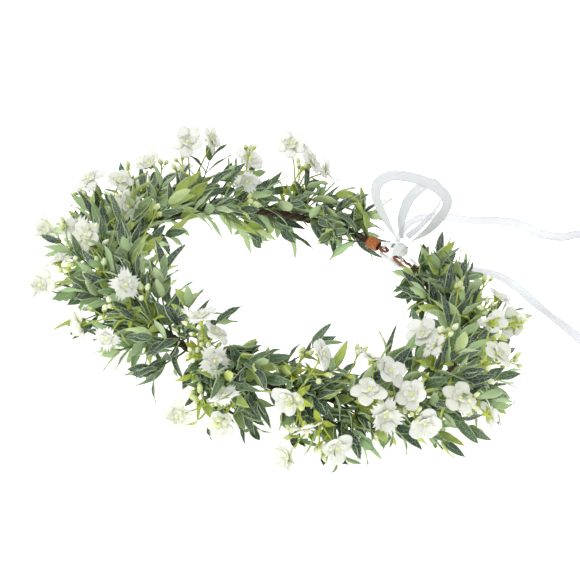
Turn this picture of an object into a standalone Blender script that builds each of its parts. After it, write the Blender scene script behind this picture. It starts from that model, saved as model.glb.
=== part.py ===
"""Flower crown: a springy vine hoop, open at the back, dressed with leaf sprigs and
flower sprays and closed with a ribbon that is laced through its end loops.

Metres, +Z up, standing on z = 0. The front of the crown is at -Y, its opening at +Y.
Hoop angles run anticlockwise seen from above, with 0 at +X and 90 at the back.
"""

import math

import bmesh
import bpy
from mathutils import Matrix, Vector

# Hoop
HOOP_HALF_LENGTH = 0.0985  # centre of the hoop to the vine's centre line, along X
HOOP_HALF_WIDTH = 0.087  # the same along Y
HOOP_CENTRE = Vector((-0.0015, 0.0080, 0.0))
VINE_RADIUS = 0.0022
END_RISE = 0.010  # the two ends spring up by this much at the back
RISE_ANGLE = 95.0  # where the rise is greatest
RIGHT_END = 77.0  # hoop angle of the right half's end at the opening
LEFT_END = 92.5 - 360.0
RIGHT_WAY = 1.0  # the right half runs from the front towards greater hoop angles
LEFT_WAY = -1.0
SEAM_ANGLE = -90.0  # the front, where the halves meet on the flex line
SEAM_GAP = 0.0003
VINE_STEPS = 32

# End loops and tape
LOOP_WIRE_RADIUS = 0.0008
LOOP_WIDTH = 0.0046  # between the wire's centre lines
LOOP_SHORTEST_STRAIGHT = 0.0004
LOOP_BEND_STEPS = 6
RIGHT_LOOP_LENGTH = 0.0155
LEFT_LOOP_LENGTH = 0.0062
TAPE_LENGTH = 0.007
TAPE_WALL = 0.0009
TAPE_SIDES = 16
CLEARANCE = 0.0003

# Leaf sprigs
LEAF_LENGTH = 0.0155
LEAF_WIDTH = 0.0046
LEAF_LEAN = 40.0  # degrees between a leaf and its stem
LEAF_PAIR_STEP = 0.0082
LEAF_PAIRS = 3
SPRIG_STEM_WIDTH = 0.0013
SPRIG_THICKNESS = 0.0009
LEAF_WIDEST = 0.40  # share of the leaf's length
LEAF_TAPER = 0.72  # where the leaf starts to taper, and the share of its width there
SPRIG_FOOT = 0.0075  # bare stem before the first pair
SPRIG_SWEEP = 32.0  # degrees between a sprig and the vine
SPRIG_FOOT_REACH = VINE_RADIUS + CLEARANCE + SPRIG_STEM_WIDTH  # from the vine's centre
LOW_LIFT = -52.0  # the lift of the sprigs the crown stands on

# Flower sprays
STEM_RADIUS = 0.0007
STEM_SIDES = 5
BLOSSOM_RADIUS = 0.0082
BLOSSOM_DEPTH = 0.0044
PETALS = 5
PETAL_NOTCH = 0.55  # radius between two petals over the radius at their tips
PETAL_SIDES = 3
CALYX_RADIUS = 0.0020
FORK_REACH = 0.017  # vine centre line to the point where a spray branches
BUD_RADIUS = 0.0019
BUD_REACH = 0.030
NODE_RADIUS = 0.0013  # the swelling where a stem branches

# Ribbon
RIBBON_WIDTH = 0.006
RIBBON_THICKNESS = 0.0004
LACING_RADIUS = 0.0008  # the ribbon gathered where it runs through the loops
LACING_DROP = 0.0034  # how far under and over the loops it runs
LACING_TUCK = 0.0012
LACING_RIGHT_SHARE = 0.62  # where it goes through each loop, as shares of its length
LACING_LEFT_SHARE = 0.5
LACING_END_RUN = Vector((0.003, 0.0, 0.0008))  # its last stretch, up to the knot
KNOT_ANGLE = 84.0
KNOT_LIFT = 0.0058  # knot centre above the vine
KNOT_SIZE = Vector((0.0046, 0.0034, 0.0036))  # half sizes

# Each lane of sprigs has one lift angle round the vine, seen along it: 0 points away
# from the head, 90 straight up and 180 towards the head.
RIGHT_LANES = (
    ("low", LOW_LIFT, (-84.0, -50.0, -16.0, 24.0)),
    ("outer", 8.0, (-80.0, -42.0, -4.0, 40.0)),
    ("upper", 62.0, (-85.0, -52.0, -17.0, 44.0)),
    ("inner", 128.0, (-66.0, -34.0, 24.0)),
)
LEFT_LANES = (
    ("low", LOW_LIFT, (-96.0, -130.0, -168.0, -214.0)),
    ("outer", 8.0, (-107.0, -138.0, -180.0, -226.0)),
    ("upper", 62.0, (-96.0, -118.0, -155.0, -194.0)),
    ("inner", 128.0, (-110.0, -152.0, -196.0)),
)

# Each spray: hoop angle, lift of its stem, and its blossoms as (hoop angle, reach in mm
# from the vine, lift).
RIGHT_SPRAYS = (
    (-78.0, 30.0, ((-81.0, 40, 60), (-76.0, 34, 60), (-73.0, 30, 34))),
    (-67.0, -14.0, ((-77.0, 40, -22), (-67.0, 38, -16), (-68.0, 36, 12))),
    (-52.0, 22.0, ((-54.0, 33, 22), (-48.0, 38, 2), (-47.0, 35, 70))),
    (-44.0, -14.0, ((-51.0, 42, -22), (-39.0, 32, -20))),
    (-31.0, 30.0, ((-35.0, 36, 44), (-31.0, 38, 22), (-33.0, 36, 74))),
    (-23.0, 24.0, ((-28.0, 34, 62), (-24.0, 36, 40), (-20.0, 36, 14))),
    (-4.0, 86.0, ((-2.0, 32, 112), (-8.0, 33, 88))),
    (-6.0, 26.0, ((-9.0, 36, 32), (2.0, 38, 8))),
    (19.0, 30.0, ((13.0, 36, 48), (25.0, 33, 68))),
    (38.0, 28.0, ((41.0, 34, 58), (44.0, 34, 14))),
)
LEFT_SPRAYS = (
    (-104.0, 26.0, ((-105.0, 34, 50), (-100.0, 38, 4), (-111.0, 38, -8))),
    (-124.0, 26.0, ((-127.0, 46, -4), (-132.0, 34, 44), (-131.0, 38, 14))),
    (-143.0, 24.0, ((-147.0, 44, 6), (-142.0, 30, 30), (-150.0, 28, 88))),
    (-160.0, 30.0, ((-161.0, 42, 42), (-164.0, 34, 66))),
    (-183.0, 24.0, ((-184.0, 34, 52), (-188.0, 36, 6))),
    (-200.0, 28.0, ((-196.0, 42, 66), (-205.0, 42, 66), (-201.0, 36, 18))),
    (-216.0, 74.0, ((-218.0, 31, 60), (-213.0, 30, 118))),
    (-234.0, 28.0, ((-229.0, 42, 60), (-237.0, 34, 62), (-241.0, 38, 30))),
)

# Ribbon bow, as points of each loop in its own upright plane, measured from the knot
BOW_LOOP_FRONT = (
    (-0.0032, 0.0052), (-0.013, 0.016), (-0.0215, 0.028), (-0.0225, 0.037),
    (-0.0165, 0.0435), (-0.005, 0.0455), (0.006, 0.0445), (0.0140, 0.0410),
    (0.0178, 0.0360), (0.0168, 0.0285), (0.0115, 0.016), (0.0032, 0.0052),
)
BOW_LOOP_BACK = (
    (-0.0022, 0.0052), (-0.0055, 0.017), (-0.0035, 0.031), (0.006, 0.040),
    (0.0165, 0.036), (0.0185, 0.025), (0.011, 0.013), (0.0022, 0.0052),
)
BOW_FRONT_TURN = 32.0  # turn of each plane about Z
BOW_BACK_TURN = 70.0
BOW_BACK_SHIFT = Vector((-0.0035, 0.0058, 0.0))

# Ribbon tails, from the knot down to the table and over it, as (x, y, z) in millimetres
TAIL_BACK_ROUTE = (
    (4.2, 98.4, 38.6), (0, 106, 33), (-6, 118, 21), (-14, 132, 8), (-24, 148, 1.6),
    (-35, 166, 0.8), (-44, 185, 0.8), (-48, 205, 0.8), (-41, 224, 0.8), (-28, 239, 0.8),
    (-20, 255, 0.8), (-9, 267, 0.8), (5, 269, 0.8), (15, 279, 0.8), (19, 295, 0.8),
    (28, 309, 0.8),
)
TAIL_SIDE_ROUTE = (
    (15.2, 96.0, 38.6), (18, 102, 33), (19, 112, 21), (17, 125, 8), (12, 139, 1.6),
    (6, 155, 0.8), (3, 172, 0.8), (8, 188, 0.8), (22, 195, 0.8), (38, 193, 0.8),
    (53, 189, 0.8), (68, 186, 0.8), (83, 181, 0.8), (98, 176, 0.8), (114, 179, 0.8),
    (124, 192, 0.8),
)
TAIL_STEP = 0.012
TAIL_TILT = 90.0  # the tails lie flat
BOW_STEP = 0.005
ROUTE_FINE = 12  # points between two of a route's own while it is measured

# Colours, as sRGB
VINE_BROWN = (0.23, 0.15, 0.10)
WIRE_BROWN = (0.45, 0.27, 0.16)
TAPE_BROWN = (0.62, 0.33, 0.18)
LEAF_GREEN = (0.24, 0.34, 0.25)
BLOSSOM_WHITE = (0.93, 0.93, 0.88)
RIBBON_WHITE = (0.95, 0.95, 0.96)


def clear_scene():
    for thing in list(bpy.data.objects):
        bpy.data.objects.remove(thing, do_unlink=True)


def new_collection(name, shown=True):
    collection = bpy.data.collections.new(name)
    bpy.context.scene.collection.children.link(collection)
    collection.hide_render = not shown
    return collection


def make_material(name, colour, roughness, metallic=0.0):
    material = bpy.data.materials.new(name)
    material.use_nodes = True
    shader = material.node_tree.nodes["Principled BSDF"]
    linear = [c / 12.92 if c <= 0.04045 else ((c + 0.055) / 1.055) ** 2.4 for c in colour]
    shader.inputs["Base Color"].default_value = (*linear, 1.0)
    shader.inputs["Roughness"].default_value = roughness
    shader.inputs["Metallic"].default_value = metallic
    return material


def add_object(name, data, collection, material=None, parent=None):
    thing = bpy.data.objects.new(name, data)
    collection.objects.link(thing)
    if material:
        data.materials.append(material)
    if parent:
        thing.parent = parent
        thing.matrix_parent_inverse = parent.matrix_world.inverted()
    return thing


# Places on the hoop


def vine_point(angle):
    """Centre of the vine at a hoop angle in degrees."""
    turn = math.radians(angle)
    rise = END_RISE * max(0.0, math.cos(math.radians(angle - RISE_ANGLE))) ** 2
    flat = Vector((HOOP_HALF_LENGTH * math.cos(turn), HOOP_HALF_WIDTH * math.sin(turn), rise))
    return HOOP_CENTRE + flat + Vector((0.0, 0.0, stand_height()))


def outward(angle):
    turn = math.radians(angle)
    across = Vector((math.cos(turn) / HOOP_HALF_LENGTH, math.sin(turn) / HOOP_HALF_WIDTH, 0.0))
    return across.normalized()


def along(angle):
    """Direction of the vine, towards greater hoop angles."""
    return Vector((0.0, 0.0, 1.0)).cross(outward(angle))


def lifted(angle, lift):
    """Direction away from the vine at a lift angle."""
    tilt = math.radians(lift)
    return outward(angle) * math.cos(tilt) + Vector((0.0, 0.0, math.sin(tilt)))


def near_vine(angle, reach, lift):
    return vine_point(angle) + lifted(angle, lift) * reach


def angle_past(angle, distance):
    """Hoop angle a short distance along the vine from another."""
    turn = math.radians(angle)
    speed = math.hypot(HOOP_HALF_LENGTH * math.sin(turn), HOOP_HALF_WIDTH * math.cos(turn))
    return angle + math.degrees(distance / speed)


# Leaf sprigs


def leaf_side(start, lean, side):
    """Outline of one leaf that leaves the stem at height start, on side +1 or -1."""
    axis = Vector((side * math.sin(lean), math.cos(lean)))
    across = Vector((axis.y * side, -axis.x * side))
    foot = Vector((side * SPRIG_STEM_WIDTH / 2, start))
    half = LEAF_WIDTH / 2
    return [
        foot,
        foot + axis * LEAF_LENGTH * LEAF_WIDEST + across * half,
        foot + (axis * LEAF_LENGTH + across * half) * LEAF_TAPER,
        foot + axis * LEAF_LENGTH,
        foot + (axis * LEAF_LENGTH - across * half) * LEAF_TAPER,
        foot + axis * LEAF_LENGTH * LEAF_WIDEST - across * half,
        foot + Vector((0.0, SPRIG_STEM_WIDTH)),
    ]


def sprig_outline():
    """Flat outline of a sprig that grows along +Y: its stem, leaf pairs and tip leaf."""
    half_stem = SPRIG_STEM_WIDTH / 2
    lean = math.radians(LEAF_LEAN)
    starts = [SPRIG_FOOT + i * LEAF_PAIR_STEP for i in range(LEAF_PAIRS)]
    top = SPRIG_FOOT + LEAF_PAIRS * LEAF_PAIR_STEP
    tip = [
        Vector((half_stem, top)),
        Vector((LEAF_WIDTH / 2, top + LEAF_LENGTH * LEAF_WIDEST)),
        Vector((LEAF_WIDTH / 2 * LEAF_TAPER, top + LEAF_LENGTH * LEAF_TAPER)),
        Vector((0.0, top + LEAF_LENGTH)),
    ]
    right = [Vector((half_stem, 0.0))]
    for start in starts:
        right += leaf_side(start, lean, 1.0)
    right += tip
    # The lowest leaf on the vine's side is left out, so that it can't cross the vine.
    left = [Vector((-half_stem, 0.0))]
    for start in starts[1:]:
        left += leaf_side(start, lean, -1.0)
    left += [Vector((-p.x, p.y)) for p in tip[:-1]]
    return right + left[::-1]


def make_sprig_curve():
    curve = bpy.data.curves.new("sprig_outline", "CURVE")
    curve.dimensions = "2D"
    curve.fill_mode = "BOTH"
    curve.extrude = SPRIG_THICKNESS / 2
    outline = sprig_outline()
    spline = curve.splines.new("POLY")
    spline.points.add(len(outline) - 1)
    for point, place in zip(spline.points, outline):
        point.co = (place.x, place.y, 0.0, 1.0)
    spline.use_cyclic_u = True
    return curve


def sprig_directions(angle, lift, way):
    """Axes of a sprig: across it away from the vine, along it, and through it."""
    sweep = math.radians(SPRIG_SWEEP)
    forward = along(angle) * way
    away = lifted(angle, lift)
    grow = forward * math.cos(sweep) + away * math.sin(sweep)
    side = away * math.cos(sweep) - forward * math.sin(sweep)
    return side, grow, side.cross(grow)


def stand_height():
    """Height of the vine at which the low sprigs' tips just reach z = 0."""
    side, grow, through = sprig_directions(0.0, LOW_LIFT, 1.0)
    foot = SPRIG_FOOT_REACH * math.sin(math.radians(LOW_LIFT))
    drop = min(side.z * p.x + grow.z * p.y for p in sprig_outline())
    return -(foot + drop - abs(through.z) * SPRIG_THICKNESS / 2)


def sprig_matrix(angle, lift, way):
    side, grow, through = sprig_directions(angle, lift, way)
    foot = near_vine(angle, SPRIG_FOOT_REACH, lift)
    turn = Matrix((side, grow, through)).transposed().to_4x4()
    return Matrix.Translation(foot) @ turn


def make_sprigs(prefix, lanes, way, parts, material, parent):
    curve = make_sprig_curve()
    curve.materials.append(material)
    for lane, lift, angles in lanes:
        for number, angle in enumerate(angles, 1):
            sprig = bpy.data.objects.new(f"{prefix}_leaf_sprig_{lane}_{number}", curve)
            parts.objects.link(sprig)
            sprig.matrix_world = sprig_matrix(angle, lift, way)
            sprig.parent = parent
            sprig.matrix_parent_inverse = parent.matrix_world.inverted()


# Flower sprays


def look_along(direction):
    return direction.to_track_quat("Z", "Y").to_matrix().to_4x4()


def rod_mesh(name, start, end, radius):
    mesh = bpy.data.meshes.new(name)
    shape = bmesh.new()
    middle = Matrix.Translation((start + end) / 2) @ look_along(end - start)
    bmesh.ops.create_cone(
        shape, cap_ends=True, segments=STEM_SIDES, radius1=radius, radius2=radius,
        depth=(end - start).length, matrix=middle,
    )
    shape.to_mesh(mesh)
    shape.free()
    return mesh


def ball_mesh(name, centre, radius):
    mesh = bpy.data.meshes.new(name)
    shape = bmesh.new()
    bmesh.ops.create_uvsphere(
        shape, u_segments=5, v_segments=4, radius=radius,
        matrix=Matrix.Translation(centre),
    )
    shape.to_mesh(mesh)
    shape.free()
    return mesh


def blossom_mesh(name, centre, facing):
    """Five petals as one thick funnel-shaped flower that opens along a direction."""
    mesh = bpy.data.meshes.new(name)
    shape = bmesh.new()
    bmesh.ops.create_cone(
        shape, cap_ends=True, segments=PETALS * PETAL_SIDES, radius1=CALYX_RADIUS,
        radius2=BLOSSOM_RADIUS, depth=BLOSSOM_DEPTH,
    )
    for number in range(PETALS):
        turn = 2 * math.pi * number / PETALS
        notch = Vector((math.sin(turn), math.cos(turn), 0.0)) * BLOSSOM_RADIUS
        notch.z = BLOSSOM_DEPTH / 2
        rim = min(shape.verts, key=lambda vert: (vert.co - notch).length)
        rim.co.x *= PETAL_NOTCH
        rim.co.y *= PETAL_NOTCH
    bmesh.ops.transform(
        shape, matrix=Matrix.Translation(centre) @ look_along(facing), verts=shape.verts
    )
    shape.to_mesh(mesh)
    shape.free()
    return mesh


def spray_pieces(name, angle, lift, blossoms):
    """The spray's stem, then what joins it: its node, a bud, branches and blossoms."""
    foot = near_vine(angle, VINE_RADIUS + CLEARANCE, lift)
    fork = near_vine(angle, FORK_REACH, lift)
    bud = near_vine(angle, BUD_REACH, lift)
    pieces = [
        rod_mesh(f"{name}_stem", foot, fork, STEM_RADIUS),
        ball_mesh(f"{name}_node", fork, NODE_RADIUS),
        rod_mesh(f"{name}_bud_stem", fork, bud, STEM_RADIUS),
        ball_mesh(f"{name}_bud", bud, BUD_RADIUS),
    ]
    for number, (at, reach, up) in enumerate(blossoms, 1):
        label = f"{name}_{number}"
        centre = near_vine(at, reach / 1000, up)
        facing = (centre - fork).normalized()
        pieces.append(rod_mesh(f"{label}_branch", fork, centre, STEM_RADIUS))
        pieces.append(blossom_mesh(f"{label}_petals", centre, facing))
    return pieces


def make_sprays(prefix, sprays, parts, cutters, material, parent):
    for number, (angle, lift, blossoms) in enumerate(sprays, 1):
        name = f"{prefix}_flower_spray_{number}"
        stem, *others = spray_pieces(name, angle, lift, blossoms)
        spray = add_object(name, stem, parts, material, parent)
        branches = bpy.data.collections.new(f"{name}_branches")
        cutters.children.link(branches)
        for mesh in others:
            piece = add_object(mesh.name, mesh, branches)
            piece.hide_render = True
            piece.display_type = "WIRE"
        union = spray.modifiers.new("Union", "BOOLEAN")
        union.operation = "UNION"
        union.operand_type = "COLLECTION"
        union.collection = branches
        union.solver = "EXACT"


# Hoop, loops and tape


def tube(name, points, radius, parts, material, parent, sides=2, closed=False):
    curve = bpy.data.curves.new(name, "CURVE")
    curve.dimensions = "3D"
    curve.bevel_depth = radius
    curve.bevel_resolution = sides
    curve.use_fill_caps = not closed
    spline = curve.splines.new("POLY")
    spline.points.add(len(points) - 1)
    for point, place in zip(spline.points, points):
        point.co = (*place, 1.0)
    spline.use_cyclic_u = closed
    spline.use_smooth = True
    return add_object(name, curve, parts, material, parent)


def half_hoop(name, end_angle, way, parts, material, parent):
    start = angle_past(SEAM_ANGLE, way * SEAM_GAP / 2)
    angles = [start + (end_angle - start) * i / VINE_STEPS for i in range(VINE_STEPS + 1)]
    return tube(name, [vine_point(a) for a in angles], VINE_RADIUS, parts, material, parent, 1)


def end_loop(name, end_angle, length, way, parts, material, parent):
    """A narrow wire loop that runs on from the vine's end, level with it."""
    forward = along(end_angle) * way
    side = outward(end_angle)
    half = LOOP_WIDTH / 2
    start = vine_point(end_angle) + forward * (CLEARANCE + LOOP_WIRE_RADIUS)
    straight = length - LOOP_WIDTH - 2 * LOOP_WIRE_RADIUS
    near = start + forward * half
    far = near + forward * max(straight, LOOP_SHORTEST_STRAIGHT)
    points = []
    for middle, first in ((near, 90.0), (far, -90.0)):
        for step in range(LOOP_BEND_STEPS + 1):
            turn = math.radians(first + step * 180.0 / LOOP_BEND_STEPS)
            points.append(middle + (forward * math.cos(turn) + side * math.sin(turn)) * half)
    return tube(name, points, LOOP_WIRE_RADIUS, parts, material, parent, 1, closed=True)


def tape_band(name, end_angle, way, parts, material, parent):
    """Floral tape wound round the vine's end: a sleeve turned from its wall's section."""
    inner = VINE_RADIUS + CLEARANCE
    outer = inner + TAPE_WALL
    half = TAPE_LENGTH / 2
    mesh = bpy.data.meshes.new(name)
    wall = ((outer, half), (outer, -half), (inner, -half), (inner, half))
    mesh.from_pydata([(x, 0.0, z) for x, z in wall], [(0, 1), (1, 2), (2, 3), (3, 0)], [])
    middle = angle_past(end_angle, -way * (half + CLEARANCE))
    band = add_object(name, mesh, parts, material)
    band.matrix_world = Matrix.Translation(vine_point(middle)) @ look_along(along(middle))
    band.parent = parent
    band.matrix_parent_inverse = parent.matrix_world.inverted()
    screw = band.modifiers.new("Turn", "SCREW")
    screw.steps = TAPE_SIDES
    screw.render_steps = TAPE_SIDES
    screw.use_merge_vertices = True
    screw.merge_threshold = 0.00001
    return band


# Ribbon


def smooth_route(route, step):
    """Evenly spaced points on one smooth curve through the route's own points."""
    ends = [route[0] * 2 - route[1], *route, route[-1] * 2 - route[-2]]
    fine = [route[0]]
    for a, b, c, d in zip(ends, ends[1:], ends[2:], ends[3:]):
        for i in range(1, ROUTE_FINE + 1):
            t = i / ROUTE_FINE
            fine.append(
                ((b * 2) + (c - a) * t + (a * 2 - b * 5 + c * 4 - d) * t**2
                 + (b * 3 - a - c * 3 + d) * t**3) / 2
            )
    lengths = [0.0]
    for before, after in zip(fine, fine[1:]):
        lengths.append(lengths[-1] + (after - before).length)
    count = round(lengths[-1] / step)
    points = []
    for i in range(count + 1):
        want = lengths[-1] * i / count
        at = max(1, min(len(fine) - 1, sum(1 for x in lengths if x < want)))
        share = (want - lengths[at - 1]) / (lengths[at] - lengths[at - 1])
        points.append(fine[at - 1].lerp(fine[at], share))
    return points


def ribbon_strip(name, points, parts, material, parent, tilt):
    """A flat band along points: tilt 0 stands on its edge and 90 lies flat."""
    curve = bpy.data.curves.new(name, "CURVE")
    curve.dimensions = "3D"
    curve.twist_mode = "Z_UP"
    curve.extrude = RIBBON_WIDTH / 2 - RIBBON_THICKNESS / 2
    curve.bevel_depth = RIBBON_THICKNESS / 2
    curve.bevel_resolution = 0
    curve.use_fill_caps = True
    spline = curve.splines.new("POLY")
    spline.points.add(len(points) - 1)
    for point, place in zip(spline.points, points):
        point.co = (*place, 1.0)
        point.tilt = math.radians(tilt)
    return add_object(name, curve, parts, material, parent)


def bow_loop(name, knot, outline, turn, parts, material, parent):
    flat = smooth_route([Vector((x, 0.0, z)) for x, z in outline], BOW_STEP)
    plane = Matrix.Translation(knot) @ Matrix.Rotation(math.radians(turn), 4, "Z")
    curve = bpy.data.curves.new(name, "CURVE")
    curve.dimensions = "2D"
    curve.fill_mode = "NONE"
    curve.extrude = RIBBON_WIDTH / 2 - RIBBON_THICKNESS / 2
    curve.bevel_depth = RIBBON_THICKNESS / 2
    curve.bevel_resolution = 0
    curve.use_fill_caps = True
    spline = curve.splines.new("POLY")
    spline.points.add(len(flat) - 1)
    for point, place in zip(spline.points, flat):
        point.co = (place.x, place.z, 0.0, 1.0)
    loop = add_object(name, curve, parts, material)
    loop.matrix_world = plane @ Matrix.Rotation(math.radians(90.0), 4, "X")
    loop.parent = parent
    loop.matrix_parent_inverse = parent.matrix_world.inverted()
    return loop


def ribbon_knot(name, knot, parts, material, parent):
    mesh = bpy.data.meshes.new(name)
    shape = bmesh.new()
    size = Matrix.Diagonal((*KNOT_SIZE, 1.0))
    bmesh.ops.create_uvsphere(
        shape, u_segments=12, v_segments=8, radius=1.0, matrix=Matrix.Translation(knot) @ size
    )
    shape.to_mesh(mesh)
    shape.free()
    mesh.shade_smooth()
    return add_object(name, mesh, parts, material, parent)


def lacing_points(knot):
    """The gathered ribbon: down through the right loop, under, up through the left one."""
    down = vine_point(RIGHT_END) + along(RIGHT_END) * RIGHT_LOOP_LENGTH * LACING_RIGHT_SHARE
    up = vine_point(LEFT_END) - along(LEFT_END) * LEFT_LOOP_LENGTH * LACING_LEFT_SHARE
    drop = Vector((0.0, 0.0, LACING_DROP))
    tuck = Vector((0.0, 0.0, LACING_TUCK))
    left_of_knot = knot - Vector((KNOT_SIZE.x + CLEARANCE * 3, 0.0, 0.0))
    under_knot = Vector((down.x, down.y, knot.z - KNOT_SIZE.z - CLEARANCE * 2))
    return [
        under_knot, down + tuck, down - tuck, down - drop, up - drop, up - tuck,
        up + tuck, up + drop, left_of_knot - LACING_END_RUN, left_of_knot,
    ]


def main():
    clear_scene()
    parts = new_collection("flower_crown")
    cutters = new_collection("joined_pieces", shown=False)
    vine = make_material("vine", VINE_BROWN, 0.8)
    wire = make_material("paper_wire", WIRE_BROWN, 0.75)
    tape = make_material("floral_tape", TAPE_BROWN, 0.7)
    leaf = make_material("leaf", LEAF_GREEN, 0.65)
    blossom = make_material("blossom", BLOSSOM_WHITE, 0.5)
    ribbon = make_material("ribbon", RIBBON_WHITE, 0.35)

    flex = add_object("flex_line", None, parts)
    flex.location = vine_point(SEAM_ANGLE)
    right = add_object("right_side", None, parts)
    bpy.context.view_layer.update()

    half_hoop("right_vine", RIGHT_END, RIGHT_WAY, parts, vine, right)
    half_hoop("left_vine", LEFT_END, LEFT_WAY, parts, vine, flex)
    end_loop("right_end_loop", RIGHT_END, RIGHT_LOOP_LENGTH, RIGHT_WAY, parts, wire, right)
    end_loop("left_end_loop", LEFT_END, LEFT_LOOP_LENGTH, LEFT_WAY, parts, wire, flex)
    tape_band("right_tape_band", RIGHT_END, RIGHT_WAY, parts, tape, right)
    tape_band("left_tape_band", LEFT_END, LEFT_WAY, parts, tape, flex)

    make_sprigs("right", RIGHT_LANES, RIGHT_WAY, parts, leaf, right)
    make_sprigs("left", LEFT_LANES, LEFT_WAY, parts, leaf, flex)
    make_sprays("right", RIGHT_SPRAYS, parts, cutters, blossom, right)
    make_sprays("left", LEFT_SPRAYS, parts, cutters, blossom, flex)

    knot = vine_point(KNOT_ANGLE) + Vector((0.0, 0.0, KNOT_LIFT))
    ribbon_knot("ribbon_knot", knot, parts, ribbon, right)
    tube("ribbon_lacing", lacing_points(knot), LACING_RADIUS, parts, ribbon, right, 1)
    bow_loop("bow_loop_front", knot, BOW_LOOP_FRONT, BOW_FRONT_TURN, parts, ribbon, right)
    bow_loop(
        "bow_loop_back", knot + BOW_BACK_SHIFT, BOW_LOOP_BACK, BOW_BACK_TURN,
        parts, ribbon, right,
    )
    for name, route in (("back", TAIL_BACK_ROUTE), ("side", TAIL_SIDE_ROUTE)):
        places = [Vector(p) / 1000 for p in route]
        points = smooth_route(places, TAIL_STEP)
        ribbon_strip(f"ribbon_tail_{name}", points, parts, ribbon, right, TAIL_TILT)


main()
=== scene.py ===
# A flower crown of artificial foliage: a twisted vine hoop, leaf sprigs, jasmine-like
# blossoms and a white ribbon laced through its end loops, resting on a white table.
# Metres, +Z up. Hoop angles run anticlockwise seen from above, with 0 at +X.

import math
import random

import bpy
import numpy as np
from mathutils import Matrix, Vector


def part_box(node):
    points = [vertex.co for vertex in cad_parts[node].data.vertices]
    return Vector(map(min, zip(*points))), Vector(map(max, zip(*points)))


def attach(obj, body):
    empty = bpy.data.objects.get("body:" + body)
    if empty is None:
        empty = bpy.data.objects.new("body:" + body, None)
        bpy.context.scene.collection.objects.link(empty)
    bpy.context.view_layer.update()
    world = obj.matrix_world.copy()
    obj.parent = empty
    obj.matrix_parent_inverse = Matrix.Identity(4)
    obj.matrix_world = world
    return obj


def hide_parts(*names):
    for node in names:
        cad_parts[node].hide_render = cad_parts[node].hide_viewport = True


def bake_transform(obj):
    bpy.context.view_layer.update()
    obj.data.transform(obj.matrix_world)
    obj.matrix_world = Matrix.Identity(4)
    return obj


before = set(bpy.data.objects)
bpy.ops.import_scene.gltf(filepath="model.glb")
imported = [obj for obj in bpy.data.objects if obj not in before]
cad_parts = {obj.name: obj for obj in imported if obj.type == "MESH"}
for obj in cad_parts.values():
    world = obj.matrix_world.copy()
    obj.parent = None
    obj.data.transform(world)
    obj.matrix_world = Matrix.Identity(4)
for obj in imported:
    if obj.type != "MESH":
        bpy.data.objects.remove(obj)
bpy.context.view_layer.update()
up = Vector((0.0, 0.0, 1.0))
print("frame loaded")

hoop = {
    "halfLength": 0.0985,  # centre of the hoop to the vine's centre line, along X
    "halfWidth": 0.087,
    "centreX": -0.0015,
    "centreY": 0.0080,
    "vineRadius": 0.0022,
    "endRise": 0.010,  # the two ends spring up by this much at the back
    "riseAngle": 95.0,
    "rightEnd": 77.0,
    "leftEnd": -267.5,
    "seam": -90.0,  # the front, where the two sides meet on the flex line
    "parting": 5.0,  # no foliage of a side starts nearer to the seam than this
}
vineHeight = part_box("right_vine")[0].z + hoop["vineRadius"]


def vinePoint(angle):
    turn = math.radians(angle)
    rise = hoop["endRise"] * max(0.0, math.cos(math.radians(angle - hoop["riseAngle"]))) ** 2
    return Vector((
        hoop["centreX"] + hoop["halfLength"] * math.cos(turn),
        hoop["centreY"] + hoop["halfWidth"] * math.sin(turn),
        vineHeight + rise,
    ))


def outward(angle):
    turn = math.radians(angle)
    across = (math.cos(turn) / hoop["halfLength"], math.sin(turn) / hoop["halfWidth"], 0.0)
    return Vector(across).normalized()


def along(angle):
    return up.cross(outward(angle))


def lifted(angle, lift):
    tilt = math.radians(lift)
    return outward(angle) * math.cos(tilt) + up * math.sin(tilt)


def nearVine(angle, reach, lift):
    return vinePoint(angle) + lifted(angle, lift) * reach


# Colours and materials

def linear(hexColour):
    channels = [int(hexColour[i:i + 2], 16) / 255 for i in (1, 3, 5)]
    return [c / 12.92 if c <= 0.04045 else ((c + 0.055) / 1.055) ** 2.4 for c in channels] + [1.0]


def newMaterial(name, settings):
    material = bpy.data.materials.new(name)
    material.use_nodes = True
    shader = material.node_tree.nodes["Principled BSDF"]
    for socket, value in settings.items():
        shader.inputs[socket].default_value = value
    return material, shader


def addNode(material, kind, values=None, settings=None, stops=()):
    node = material.node_tree.nodes.new(kind)
    for name, value in (settings or {}).items():
        setattr(node, name, value)
    for name, value in (values or {}).items():
        if isinstance(value, bpy.types.NodeSocket):
            material.node_tree.links.new(value, node.inputs[name])
        else:
            node.inputs[name].default_value = value
    if stops:
        ramp = node.color_ramp
        ramp.interpolation = "EASE"
        while len(ramp.elements) < len(stops):
            ramp.elements.new(0.5)
        for element, (place, colour) in zip(ramp.elements, stops):
            element.position = place
            element.color = linear(colour)
    return node


def patternOf(material, pattern):
    # "side", "length" and "tone" are the parts of "place": distance from the middle line,
    # share of the length, and tone; else it is a noise's grain size in metres, detail and
    # roughness
    parts = ("side", "length", "tone")
    if pattern in parts:
        stored = addNode(material, "ShaderNodeAttribute", None, {"attribute_name": "place"})
        split = addNode(material, "ShaderNodeSeparateXYZ", {0: stored.outputs["Vector"]})
        part = split.outputs[parts.index(pattern)]
        side = addNode(material, "ShaderNodeMath", {0: part}, {"operation": "ABSOLUTE"})
        return side.outputs[0]
    size, detail, roughness = pattern
    place = addNode(material, "ShaderNodeTexCoord").outputs["Object"]
    return addNode(material, "ShaderNodeTexNoise", {
        "Vector": place, "Scale": 1.0 / size, "Detail": detail, "Roughness": roughness,
    }).outputs[0]


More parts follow.
